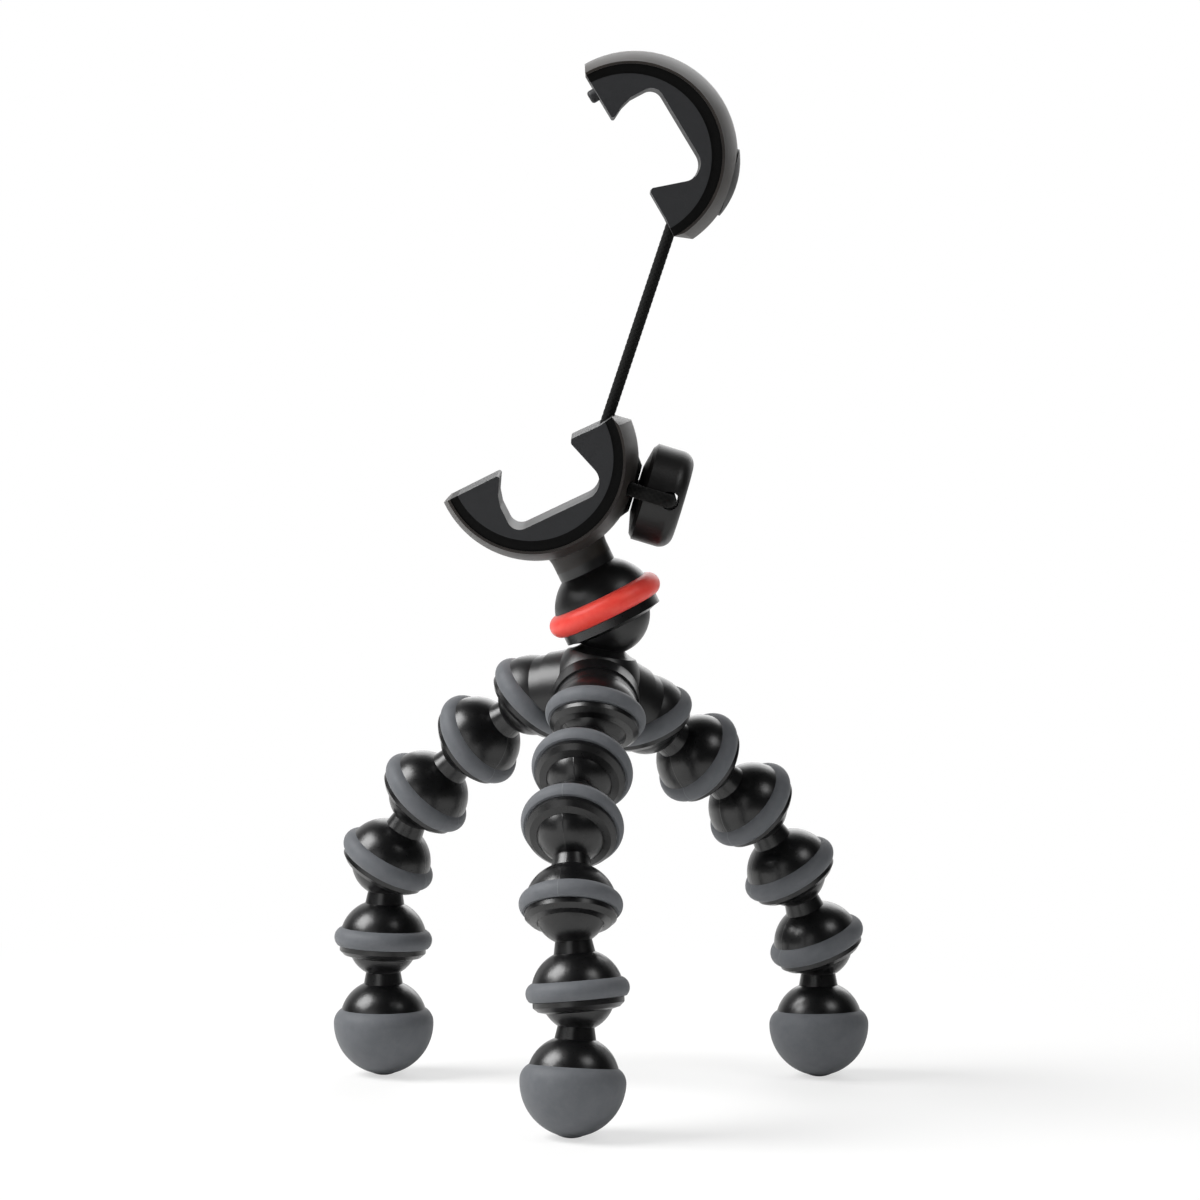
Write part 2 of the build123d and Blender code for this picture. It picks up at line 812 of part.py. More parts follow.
with BuildSketch(half_section(cap_axis)) as cap_face:
    with BuildLine():
        Polyline(
            (0, cap_seat + cap_rise), (0, liner_radius), (cap_stem_radius, liner_radius),
            (cap_stem_radius, cap_seat), (cap_radius, cap_seat), (cap_radius, cap_seat + cap_rim),
        )
        TangentArc(
            (0, cap_seat + cap_rise), (cap_radius, cap_seat + cap_rim), tangent=(1, 0)
        )
    make_face()
with BuildPart() as upper_cap:
    revolve(cap_face.sketch, axis=spin_axis(cap_axis))
save(upper_cap.part, "upper_jaw_cap")


# Cord: two straight strands between the jaws, and the loop that runs through the toggle
lower_ends = [hole.offset(cord_end_gap - cord_depth).origin for hole in cord_hole_planes(clamp)]
upper_ends = [hole.offset(cord_end_gap - cord_depth).origin for hole in cord_hole_planes(upper_frame)]
strand_length = (upper_ends[1] - lower_ends[0]).length
with BuildPart() as cord_strands:
    for start, end in zip(lower_ends, reversed(upper_ends)):
        with BuildSketch(Plane(origin=start, z_dir=end - start)):
            Circle(strand_diameter / 2)
        extrude(amount=strand_length)
save(cord_strands.part, "cord_strands")

loop_wire = loop_path.wire()
with BuildPart() as cord_loop:
    with BuildSketch(loop_wire ^ 0) as cord_section:
        Circle(loop_diameter / 2)
    sweep(path=loop_wire)
save(cord_loop.part, "cord_loop")
swept = cord_section.sketch.area * loop_wire.length
print(f"cord loop: bends {loop_radii} mm, volume {cord_loop.part.volume:.2f} of {swept:.2f} mm3")


# Toggle: a flange that seats on the lower jaw, and the round body the cord passes through
with BuildSketch(half_section(toggle_axis)) as flange_section:
    with BuildLine():
        Polyline(
            (0, flange_face), (seat_face_radius, flange_face),
            (flange_cone_radius, flange_face + flange_cone), (flange_radius, body_face),
            (0, body_face), close=True,
        )
    make_face()
with BuildPart() as toggle_flange:
    revolve(flange_section.sketch, axis=spin_axis(toggle_axis))
save(toggle_flange.part, "toggle_flange")

with BuildPart() as toggle_body:
    with BuildSketch(toggle_axis.offset(body_face)):
        Circle(toggle_radius)
    extrude(amount=toggle_depth)
    fillet(toggle_body.edges().group_by(spin_axis(toggle_axis))[-1], toggle_round)
    cross = Plane(origin=loop_plane.from_local_coords((loop_centre, 0)), z_dir=clamp.y_dir)
    with BuildSketch(cross):
        Circle(toggle_hole_radius)
    extrude(amount=toggle_radius + overrun, both=True, mode=Mode.SUBTRACT)
save(toggle_body.part, "toggle_body")
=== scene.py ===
import json
from math import cos, pi, radians, sin

import bpy
from mathutils import Matrix, Vector


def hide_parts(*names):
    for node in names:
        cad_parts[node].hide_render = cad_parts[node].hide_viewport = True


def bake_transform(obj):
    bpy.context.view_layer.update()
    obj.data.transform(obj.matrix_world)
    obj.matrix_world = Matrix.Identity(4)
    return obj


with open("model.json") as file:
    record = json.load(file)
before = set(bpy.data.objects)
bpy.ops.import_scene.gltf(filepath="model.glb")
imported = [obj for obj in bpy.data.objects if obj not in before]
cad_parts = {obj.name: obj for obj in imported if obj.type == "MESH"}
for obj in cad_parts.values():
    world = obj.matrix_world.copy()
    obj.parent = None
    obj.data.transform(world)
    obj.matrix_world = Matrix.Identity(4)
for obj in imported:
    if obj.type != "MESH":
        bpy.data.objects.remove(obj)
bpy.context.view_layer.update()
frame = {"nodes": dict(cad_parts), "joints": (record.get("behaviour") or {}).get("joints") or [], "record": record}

bl_info = {
    "name": "Flexible Leg Tripod",
    "version": (1, 0, 0),
    "blender": (4, 5, 0),
    "location": "View3D > Sidebar > Tripod",
    "description": "Finishes a small tripod of snap-together ball links with a cord-drawn clamp",
    "category": "Object",
}

MM = 0.001
LEGS = ("left", "front", "right")
LINKS = range(2, 6)

# How matt each finish is, from 0 for a mirror to 1, and how strong its velvety sheen is
MATT = {
    "link": 0.3, "hub": 0.36, "collar": 0.3, "grip": 0.62, "red": 0.42, "shell": 0.5,
    "cap": 0.5, "liner": 0.55, "toggle": 0.4, "yarn": 0.75, "floor": 0.9,
}
SHEEN = {"rubber": 0.08, "shell": 0.03, "liner": 0.02, "yarn": 0.04}

# How much paler handling marks and a mould's line are, and the soft edge of the black band
MARK_TINT = 1.3
LINE_SHARE = 0.35
BAND_EDGE = (-0.02 * MM, 0.05 * MM)

# Braid: rings of points to a stitch, points round a cord, yarns each way round half of it,
# how sharply a yarn's painted highlight on its back stands out, and the stitches' map once round
STITCH_RINGS = 7
CORD_SIDES = 28
YARNS = 4
BACK_SHARPNESS = 3
MAP_ROUND = 6.28

# Stage, in metres: the floor, and where the shade the object throws on it fades to white
FLOOR_SIDE = 6.0
SHADE_NEAR, SHADE_FAR = 0.06, 0.2
SHADE_GLOW = 0.6
ROOM_LIGHT = 0.24
ROOM_MIRRORED = 0.02

# Lamps: place and side of the square in metres, power in watts
LAMPS = (
    ("left softbox", (-0.57, -0.1, 0.6), 0.46, 8.0),
    ("right softbox", (0.4, -0.32, 0.6), 0.24, 0.9),
    ("front fill", (-0.5, -0.8, 0.25), 0.5, 1.1),
    ("back softbox", (0.1, 0.65, 0.4), 0.5, 1.6),
)
LAMP_AIM = (0, 0, 0.08)

# Camera fitted to the photograph's outline
LENS_MM = 151.25
FRAME_MM = 36.0
CAMERA_MM = (0.1, -791.52, 128.41)
CAMERA_DEGREES = (86.385, -0.865, -0.008)

joints = {joint["name"]: joint for joint in frame["joints"]}
mounts = {mount["name"]: mount for mount in frame["record"]["mounts"]}


def axes(x_dir, z_dir, origin):
    """Placement whose local X and Z point these ways."""
    z = Vector(z_dir).normalized()
    y = z.cross(Vector(x_dir)).normalized()
    x = y.cross(z)
    turn = Matrix((x, y, z)).transposed().to_4x4()
    return Matrix.Translation(Vector(origin)) @ turn


# Jaw frame: local X out of the clamp's back towards the toggle, local Z from jaw to jaw
JAW_SHIFT = 1.09 * MM
JAW_SPREAD = 49.52 * MM
clamp_x = Vector(joints["toggle_pull"]["axis"])
clamp_z = Vector(joints["jaw_slide"]["axis"])
clamp_middle = Vector(mounts["device_clamp"]["pos_m"])
lower_origin = clamp_middle - (clamp_x * JAW_SHIFT + clamp_z * JAW_SPREAD) / 2
upper_origin = clamp_middle + (clamp_x * JAW_SHIFT + clamp_z * JAW_SPREAD) / 2
lower_jaw = axes(clamp_x, clamp_z, lower_origin)
upper_jaw = axes(clamp_x, -clamp_z, upper_origin)


def linear(hex_colour):
    """sRGB hex to the linear RGBA that shaders take."""
    parts = [int(hex_colour[i:i + 2], 16) / 255 for i in (1, 3, 5)]
    return [c / 12.92 if c <= 0.04045 else ((c + 0.055) / 1.055) ** 2.4 for c in parts] + [1.0]


def colour(name, description, default):
    return bpy.props.FloatVectorProperty(
        name=name, description=description, subtype="COLOR", size=4, min=0, max=1,
        default=linear(default),
    )


def length(name, description, default):
    return bpy.props.FloatProperty(
        name=name, description=description, default=default * MM, min=0, unit="LENGTH",
        precision=5,
    )


class TripodSizes(bpy.types.PropertyGroup):
    strand_diameter: length("Strand", "Diameter of the cord between the jaws", 1.8)
    loop_diameter: length("Loop", "Diameter of the slacker cord round the toggle", 2.2)
    cord_spacing: length("Cord spacing", "Distance between the two strands", 6.4)
    cord_line: length("Cord line", "How far behind the jaw's centre the strands run", 9.3)
    cord_exit: length("Cord exit", "Height of the jaw's back edge where a strand leaves it", 9.2)
    loop_root: length("Loop root", "Where the loop leaves the seat, from the jaw's centre", 14.8)
    loop_root_spread: length("Loop root spread", "Half the distance between its ends", 5.0)
    loop_turn: length("Loop turn", "Where the loop bends beside the toggle", 17.25)
    loop_back: length("Loop back", "Where the loop runs through the toggle", 22.3)
    loop_reach: length("Loop reach", "Half the width of the loop", 9.2)
    cord_depth: length("Cord depth", "How far a strand goes into a jaw", 3.2)
    plait_pitch: length("Plait pitch", "Length of one stitch of the braid", 0.9)
    plait_depth: length("Plait depth", "Depth of the valleys between stitches", 0.07)
    moulded_grain: length("Moulded grain", "Size of the fine grain moulded into matt parts", 0.35)
    rubber_grain: length("Rubber grain", "Size of the cloudy mottle on the grey rubber", 1.6)
    parting_line: length("Parting line", "Half width of the line left by the mould", 0.09)
    plastic_ripple: length("Plastic ripple", "Size of the faint ripple on the glossy links", 2.2)
    band_radius: length("Band radius", "Where the black band round a jaw's side begins", 12.75)
    band_shift: length("Band shift", "How far the band's circle is off the jaw's centre", 0.26)


class TripodColours(bpy.types.PropertyGroup):
    link: colour("Link", "Black ABS of the links, hub and head", "#070708")
    link_line: colour("Link line", "Mould line on the links", "#2c2c2d")
    collar: colour("Collar", "Black acetal of the retaining collars", "#080809")
    grip: colour("Grip rubber", "Slate grey rubber of the grips and boots", "#575a5e")
    grip_worn: colour("Grip bloom", "Paler bloom on the grey rubber", "#5e6064")
    grip_line: colour("Grip line", "Mould line on the grey rubber", "#8d8f91")
    red: colour("Red rubber", "Bright red rubber of the head's ring", "#e63a31")
    red_bloom: colour("Red bloom", "Paler bloom on the red rubber", "#ea4a3d")
    shell: colour("Shell", "Soft-touch skin of the jaws", "#1c1714")
    shell_light: colour("Shell bloom", "Paler patches of the soft-touch skin", "#251f1b")
    liner: colour("Liner", "Dark grained rubber of the jaws' cheeks", "#1b1c1f")
    band: colour("Band", "Black rubber band along the rim of the cheeks", "#050505")
    cap: colour("Cap", "Black cap on the upper jaw", "#161617")
    toggle: colour("Toggle", "Moulded body and flange of the toggle", "#0e0d0d")
    cord: colour("Cord", "Black yarn of the braid", "#060606")
    # Painted highlight: the paler colour painted on the raised backs of the braid's yarns
    cord_painted_highlight: colour("Cord painted highlight", "Raised yarn of the braid", "#141413")
    floor: colour("Floor", "Pale floor", "#f4f4f3")


# Shader building
def add_node(material, kind, inputs=None, **settings):
    """Adds one node. An input that is a socket is linked, and anything else is set."""
    tree = material.node_tree
    node = tree.nodes.new(kind)
    for key, value in settings.items():
        setattr(node, key, value)
    for key, value in (inputs or {}).items():
        if isinstance(value, bpy.types.NodeSocket):
            tree.links.new(value, node.inputs[key])
        else:
            node.inputs[key].default_value = value
    return node


def new_material(name, **surface):
    """An empty material with one Principled surface joined to its output."""
    material = bpy.data.materials.new(name)
    material.use_nodes = True
    material.node_tree.nodes.clear()
    shader = add_node(material, "ShaderNodeBsdfPrincipled", surface)
    add_node(material, "ShaderNodeOutputMaterial", {"Surface": shader.outputs["BSDF"]})
    return material, shader


def join(material, source, shader, socket):
    material.node_tree.links.new(source, shader.inputs[socket])


def dress(names, material):
    """Gives CAD pieces their finish."""
    for name in names:
        node = frame["nodes"][name]
        node.data.materials.clear()
        node.data.materials.append(material)


def moulded_abs(name, tint, ripple, roughness):
    """Injection-moulded ABS or acetal, polished mould: deep black, with broad soft highlights
    that waver a little where the wall has sunk, and a faint scatter of handling marks."""
    material, shader = new_material(name, **{"IOR": 1.53, "Specular IOR Level": 0.5})
    place = add_node(material, "ShaderNodeTexCoord")
    sink = add_node(
        material, "ShaderNodeTexNoise",
        {"Vector": place.outputs["Object"], "Scale": 1 / ripple, "Detail": 2.0},
    )
    marks = add_node(
        material, "ShaderNodeTexNoise",
        {"Vector": place.outputs["Object"], "Scale": 9 / ripple, "Detail": 6.0, "Roughness": 0.7},
    )
    rough = add_node(
        material, "ShaderNodeMapRange",
        {"Value": marks.outputs["Fac"], "From Min": 0.35, "From Max": 0.75,
         "To Min": roughness - 0.03, "To Max": roughness + 0.05},
    )
    worn = [c * MARK_TINT for c in tint[:3]] + [1.0]
    tone = add_node(
        material, "ShaderNodeMix", {0: marks.outputs["Fac"], 6: tint, 7: worn}, data_type="RGBA"
    )
    bump = add_node(
        material, "ShaderNodeBump",
        {"Height": sink.outputs["Fac"], "Strength": 0.12, "Distance": 0.1 * MM},
    )
    join(material, tone.outputs[2], shader, "Base Color")
    join(material, rough.outputs["Result"], shader, "Roughness")
    join(material, bump.outputs["Normal"], shader, "Normal")
    return material


def moulded_rubber(name, tint, bloom, grain, roughness):
    """Compression-moulded rubber: a matt, even colour with a cloudy bloom a shade paler, and
    the fine pores of the mould's texture."""
    material, shader = new_material(
        name, **{"IOR": 1.52, "Specular IOR Level": 0.35, "Sheen Weight": SHEEN["rubber"],
                 "Sheen Roughness": 0.5}
    )
    place = add_node(material, "ShaderNodeTexCoord")
    cloud = add_node(
        material, "ShaderNodeTexNoise",
        {"Vector": place.outputs["Object"], "Scale": 1 / grain, "Detail": 5.0, "Roughness": 0.62},
    )
    pores = add_node(
        material, "ShaderNodeTexNoise",
        {"Vector": place.outputs["Object"], "Scale": 7 / grain, "Detail": 3.0},
    )
    blend = add_node(
        material, "ShaderNodeMapRange",
        {"Value": cloud.outputs["Fac"], "From Min": 0.36, "From Max": 0.66},
    )
    tone = add_node(
        material, "ShaderNodeMix", {0: blend.outputs["Result"], 6: tint, 7: bloom},
        data_type="RGBA",
    )
    rough = add_node(
        material, "ShaderNodeMapRange",
        {"Value": cloud.outputs["Fac"], "To Min": roughness - 0.08, "To Max": roughness + 0.08},
    )
    bump = add_node(
        material, "ShaderNodeBump",
        {"Height": pores.outputs["Fac"], "Strength": 0.25, "Distance": 0.06 * MM},
    )
    join(material, tone.outputs[2], shader, "Base Color")
    join(material, rough.outputs["Result"], shader, "Roughness")
    join(material, bump.outputs["Normal"], shader, "Normal")
    return material


def grained_skin(name, tint, bloom, grain, roughness, sheen=0.0):
    """Spark-eroded or soft-touch moulding: a fine even grain that scatters the highlight into
    a wide pale glow, with slightly paler patches where it has been handled."""
    material, shader = new_material(
        name, **{"IOR": 1.5, "Specular IOR Level": 0.42, "Sheen Weight": sheen,
                 "Sheen Roughness": 0.4}
    )
    place = add_node(material, "ShaderNodeTexCoord")
    cells = add_node(
        material, "ShaderNodeTexVoronoi",
        {"Vector": place.outputs["Object"], "Scale": 1 / grain}, feature="SMOOTH_F1",
    )
    patches = add_node(
        material, "ShaderNodeTexNoise",
        {"Vector": place.outputs["Object"], "Scale": 0.06 / grain, "Detail": 4.0},
    )
    blend = add_node(
        material, "ShaderNodeMapRange",
        {"Value": patches.outputs["Fac"], "From Min": 0.38, "From Max": 0.64},
    )
    tone = add_node(
        material, "ShaderNodeMix", {0: blend.outputs["Result"], 6: tint, 7: bloom},
        data_type="RGBA",
    )
    rough = add_node(
        material, "ShaderNodeMapRange",
        {"Value": patches.outputs["Fac"], "To Min": roughness - 0.05, "To Max": roughness + 0.06},
    )
    bump = add_node(
        material, "ShaderNodeBump",
        {"Height": cells.outputs["Distance"], "Strength": 0.3, "Distance": 0.04 * MM},
    )
    join(material, tone.outputs[2], shader, "Base Color")
    join(material, rough.outputs["Result"], shader, "Roughness")
    join(material, bump.outputs["Normal"], shader, "Normal")
    return material


def jaw_side(name, jaw, colours, sizes):
    """Moulded rubber of a jaw: grained dark blue-grey cheeks, and a duller black band between
    the cheek and the rim of the shell, divided at the band's circle."""
    material = grained_skin(
        name, colours.liner, colours.liner, sizes.moulded_grain, MATT["liner"], SHEEN["liner"]
    )
    shader = next(n for n in material.node_tree.nodes if n.type == "BSDF_PRINCIPLED")
    tone = shader.inputs["Base Color"].links[0].from_node
    place = add_node(material, "ShaderNodeTexCoord")
    centre = jaw @ Vector((-sizes.band_shift, 0, sizes.band_shift))
    local = add_node(
        material, "ShaderNodeMapping",
        {"Vector": place.outputs["Object"], "Location": centre, "Rotation": jaw.to_euler()},
        vector_type="TEXTURE",
    )
    flat = add_node(
        material, "ShaderNodeVectorMath",
        {0: local.outputs["Vector"], 1: (1.0, 0.0, 1.0)}, operation="MULTIPLY",
    )
    radius = add_node(
        material, "ShaderNodeVectorMath", {0: flat.outputs["Vector"]}, operation="LENGTH"
    )
    edge = add_node(
        material, "ShaderNodeMapRange",
        {"Value": radius.outputs["Value"], "From Min": sizes.band_radius + BAND_EDGE[0],
         "From Max": sizes.band_radius + BAND_EDGE[1]},
    )
    banded = add_node(
        material, "ShaderNodeMix",
        {0: edge.outputs["Result"], 6: tone.outputs[2], 7: colours.band}, data_type="RGBA",
    )
    join(material, banded.outputs[2], shader, "Base Color")
    dull = add_node(
        material, "ShaderNodeMapRange",
        {"Value": edge.outputs["Result"], "To Min": 0.45, "To Max": 0.12},
    )
    join(material, dull.outputs["Result"], shader, "Specular IOR Level")
    return material


def braided_yarn(name, tint, raised):
    """Braided polyester over a rubber core: small slanting stitches that cross in V shapes,
    each yarn with a painted highlight on its back and painted shade in the valleys."""
    material, shader = new_material(
        name, **{"IOR": 1.5, "Specular IOR Level": 0.12, "Sheen Weight": SHEEN["yarn"],
                 "Sheen Roughness": 0.45, "Roughness": MATT["yarn"]}
    )
    place = add_node(material, "ShaderNodeUVMap", uv_map="braid")
    fibres = add_node(
        material, "ShaderNodeTexNoise",
        {"Vector": place.outputs["UV"], "Scale": 3.0, "Detail": 4.0, "Roughness": 0.7},
    )
    # Painted highlight and painted shade: the yarn is coloured lighter where the braid's skin stands high and
    # darker in its valleys
    height = add_node(material, "ShaderNodeAttribute", attribute_name="plait")
    tone = add_node(
        material, "ShaderNodeMix", {0: height.outputs["Fac"], 6: tint, 7: raised},
        data_type="RGBA",
    )
    bump = add_node(
        material, "ShaderNodeBump",
        {"Height": fibres.outputs["Fac"], "Strength": 0.5, "Distance": 0.05 * MM},
    )
    join(material, tone.outputs[2], shader, "Base Color")
    join(material, bump.outputs["Normal"], shader, "Normal")
    return material


def with_parting_line(finish, leg, index, width, raised):
    """A copy of a moulded finish for one link, with the line where the halves of its mould met:
    a hair-fine ridge along the link, a shade paler than the rest."""
    material = finish.copy()
    material.name = f"{finish.name}, {leg} link {index}"
    shader = next(n for n in material.node_tree.nodes if n.type == "BSDF_PRINCIPLED")
    tone = shader.inputs["Base Color"].links[0].from_socket
    normal = shader.inputs["Normal"].links[0].from_socket
    turn, bend = joints[f"{leg}_swivel_{index}"], joints[f"{leg}_bend_{index}"]
    link = axes(bend["axis"], turn["axis"], turn["pos_m"])
    place = add_node(material, "ShaderNodeTexCoord")
    local = add_node(
        material, "ShaderNodeMapping",
        {"Vector": place.outputs["Object"], "Location": link.translation,
         "Rotation": link.to_euler()},
        vector_type="TEXTURE",
    )
    parts = add_node(material, "ShaderNodeSeparateXYZ", {"Vector": local.outputs["Vector"]})
    away = add_node(material, "ShaderNodeMath", {0: parts.outputs["X"]}, operation="ABSOLUTE")
    ridge = add_node(
        material, "ShaderNodeMapRange",
        {"Value": away.outputs["Value"], "From Min": 0.0, "From Max": width, "To Min": 1.0,
         "To Max": 0.0},
    )
    paler = add_node(
        material, "ShaderNodeMath", {0: ridge.outputs["Result"], 1: LINE_SHARE}, operation="MULTIPLY"
    )
    lined = add_node(
        material, "ShaderNodeMix", {0: paler.outputs["Value"], 6: tone, 7: raised},
        data_type="RGBA",
    )
    bump = add_node(
        material, "ShaderNodeBump",
        {"Height": ridge.outputs["Result"], "Normal": normal, "Strength": 0.6,
         "Distance": 0.05 * MM},
    )
    join(material, lined.outputs[2], shader, "Base Color")
    join(material, bump.outputs["Normal"], shader, "Normal")
    return material


def deselect():
    bpy.ops.object.select_all(action="DESELECT")


# Cord building: a braided tube round the points of a smooth route
def smooth_route(points):
    """Points along a NURBS spline with these control points, as the curve itself gives them."""
    curve = bpy.data.curves.new("route", "CURVE")
    curve.dimensions = "3D"
    spline = curve.splines.new("NURBS")
    spline.points.add(len(points) - 1)
    for point, place in zip(spline.points, points):
        point.co = (*place, 1.0)
    spline.order_u = 3
    spline.use_endpoint_u = True
    spline.resolution_u = 24
    carrier = bpy.data.objects.new("route", curve)
    mesh = bpy.data.meshes.new_from_object(carrier)
    route = [vertex.co.copy() for vertex in mesh.vertices]
    bpy.data.objects.remove(carrier)
    bpy.data.curves.remove(curve)
    bpy.data.meshes.remove(mesh)
    return route


def even_steps(route, step):
    """The same line walked in equal steps."""
    walked = [route[0]]
    left = step
    for start, end in zip(route, route[1:]):
        run = (end - start).length
        while run >= left:
            start = start.lerp(end, left / run)
            run = (end - start).length
            walked.append(start.copy())
            left = step
        left -= run
    walked.append(route[-1].copy())
    return walked


def braided_tube(name, routes, diameter, pitch, depth):
    """Tubes round the routes. Their skin rises and falls as crossed yarns, eight each way,
    and its height is kept as an attribute, from which the material paints highlight and shade."""
    sides = CORD_SIDES
    verts, faces, heights, uvs = [], [], [], []
    for route in routes:
        line = even_steps(smooth_route(route), pitch / STITCH_RINGS)
        forward = (line[1] - line[0]).normalized()
        side = forward.orthogonal().normalized()
        first = len(verts)
        for index, point in enumerate(line):
            if index < len(line) - 1:
                forward = (line[index + 1] - point).normalized()
            side = (side - forward * side.dot(forward)).normalized()
            across = forward.cross(side)
            along = index / STITCH_RINGS
            for turn in range(sides):
                angle = 2 * pi * turn / sides
                warp = sin(YARNS * angle + pi * along)
                weft = sin(YARNS * angle - pi * along)
                height = max(warp * warp, weft * weft)
                radius = diameter / 2 - depth * (1 - height)
                verts.append(point + (side * cos(angle) + across * sin(angle)) * radius)
                # the sharpened height, which the material turns into a painted highlight on the yarns' backs
                heights.append(height ** BACK_SHARPNESS)
                uvs.append((angle / (2 * pi) * MAP_ROUND, along))
        rings = (len(verts) - first) // sides
        for ring in range(rings - 1):
            for turn in range(sides):
                a = first + ring * sides + turn
                b = first + ring * sides + (turn + 1) % sides
                faces.append((a, b, b + sides, a + sides))
        faces.append(tuple(first + turn for turn in reversed(range(sides))))
        faces.append(tuple(first + (rings - 1) * sides + turn for turn in range(sides)))
    mesh = bpy.data.meshes.new(name)
    mesh.from_pydata(verts, [], faces)
    mesh.attributes.new("plait", "FLOAT", "POINT").data.foreach_set("value", heights)
    layer = mesh.uv_layers.new(name="braid")
    for loop in mesh.loops:
        layer.data[loop.index].uv = uvs[loop.vertex_index]
    piece = bpy.data.objects.new(name, mesh)
    bpy.context.scene.collection.objects.link(piece)
    deselect()
    piece.select_set(True)
    bpy.context.view_layer.objects.active = piece
    bpy.ops.object.mode_set(mode="EDIT")
    bpy.ops.mesh.select_all(action="SELECT")
    bpy.ops.mesh.normals_make_consistent(inside=False)
    bpy.ops.object.mode_set(mode="OBJECT")
    bpy.ops.object.shade_smooth()
    return piece


class TRIPOD_OT_legs(bpy.types.Operator):
    """Finish the ball links, their rubber grips, the collars and the boots"""

    bl_idname = "tripod.legs"
    bl_label = "Legs and Feet"

    def execute(self, context):
        sizes, colours = context.scene.tripod_sizes, context.scene.tripod_colours
        names = frame["nodes"]
        ripple = sizes.plastic_ripple
        link = moulded_abs("moulded ABS, polished black", colours.link, ripple, MATT["link"])
        hub = moulded_abs("moulded ABS, satin black", colours.link, ripple, MATT["hub"])
        collar = moulded_abs("moulded acetal, black", colours.collar, ripple, MATT["collar"])
        rubber = moulded_rubber(
            "moulded nitrile rubber, slate grey", colours.grip, colours.grip_worn,
            sizes.rubber_grain, MATT["grip"],
        )
        for leg in LEGS:
            for index in LINKS:
                marks = (leg, index, sizes.parting_line)
                cup = with_parting_line(link, *marks, colours.link_line)
                ring = with_parting_line(rubber, *marks, colours.grip_line)
                dress([f"{leg}_cup_{index}"], cup)
                dress([f"{leg}_ring_{index}"], ring)
        dress([f"{leg}_foot_stem" for leg in LEGS], link)
        dress([n for n in names if "collar" in n], collar)
        dress(["hub_rings", *(f"{leg}_foot_boot" for leg in LEGS)], rubber)
        dress(["hub_body", "hub_sockets", "head_socket"], hub)
        return {"FINISHED"}


class TRIPOD_OT_head(bpy.types.Operator):
    """Finish the red rubber ring of the ball head"""

    bl_idname = "tripod.head"
    bl_label = "Head Ring"

    def execute(self, context):
        sizes, colours = context.scene.tripod_sizes, context.scene.tripod_colours
        red = moulded_rubber(
            "moulded silicone rubber, red", colours.red, colours.red_bloom,
            sizes.rubber_grain, MATT["red"],
        )
        dress(["head_ring"], red)
        return {"FINISHED"}


class TRIPOD_OT_jaws(bpy.types.Operator):
    """Finish the shells, liners and cap of the two jaws"""

    bl_idname = "tripod.jaws"
    bl_label = "Jaws"

    def execute(self, context):
        sizes, colours = context.scene.tripod_sizes, context.scene.tripod_colours
        shell = grained_skin(
            "soft-touch lacquer on ABS, warm grey", colours.shell, colours.shell_light,
            sizes.moulded_grain, MATT["shell"], SHEEN["shell"],
        )
        cap = grained_skin(
            "moulded ABS, matt black", colours.cap, colours.cap, sizes.moulded_grain, MATT["cap"]
        )
        dress(["lower_jaw_shell", "upper_jaw_shell"], shell)
        dress(["upper_jaw_cap"], cap)
        for side, jaw in (("lower", lower_jaw), ("upper", upper_jaw)):
            liner = jaw_side(f"moulded rubber, {side} jaw", jaw, colours, sizes)
            dress([f"{side}_jaw_liner"], liner)
        return {"FINISHED"}


class TRIPOD_OT_toggle(bpy.types.Operator):
    """Finish the round pull toggle and its flange"""

    bl_idname = "tripod.toggle"
    bl_label = "Toggle"

    def execute(self, context):
        sizes, colours = context.scene.tripod_sizes, context.scene.tripod_colours
        body = grained_skin(
            "spark-eroded ABS, dark grey", colours.toggle, colours.toggle, sizes.moulded_grain,
            MATT["toggle"],
        )
        dress(["toggle_body", "toggle_flange"], body)
        return {"FINISHED"}


class TRIPOD_OT_cords(bpy.types.Operator):
    """Braid the two strands between the jaws and the loop through the toggle"""

    bl_idname = "tripod.cords"
    bl_label = "Cords"

    def execute(self, context):
        sizes, colours = context.scene.tripod_sizes, context.scene.tripod_colours
        yarn = braided_yarn("braided polyester, black", colours.cord, colours.cord_painted_highlight)

        # The two jaws' frames face each other, so their Y axes are opposed
        runs = []
        hidden_end = sizes.cord_exit - sizes.cord_depth
        for across in (-sizes.cord_spacing / 2, sizes.cord_spacing / 2):
            bottom = lower_jaw @ Vector((sizes.cord_line, across, hidden_end))
            top = upper_jaw @ Vector((sizes.cord_line, -across, hidden_end))
            runs.append([bottom, bottom.lerp(top, 1 / 3), bottom.lerp(top, 2 / 3), top])
        strands = braided_tube(
            "braided_strands", runs, sizes.strand_diameter, sizes.plait_pitch, sizes.plait_depth
        )
        strands.data.materials.append(yarn)
        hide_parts("cord_strands")
        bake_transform(strands)

        half = [
            (sizes.loop_root, sizes.loop_root_spread), (sizes.loop_turn, sizes.loop_reach),
            (sizes.loop_back, sizes.loop_reach), (sizes.loop_back, sizes.loop_root_spread),
        ]
        corners = [(x, -y) for x, y in half] + half[::-1]
        route = [lower_jaw @ Vector((x, y, 0)) for x, y in corners]
        loop = braided_tube(
            "braided_loop", [route], sizes.loop_diameter, sizes.plait_pitch, sizes.plait_depth
        )
        loop.data.materials.append(yarn)
        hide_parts("cord_loop")
        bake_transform(loop)
        return {"FINISHED"}


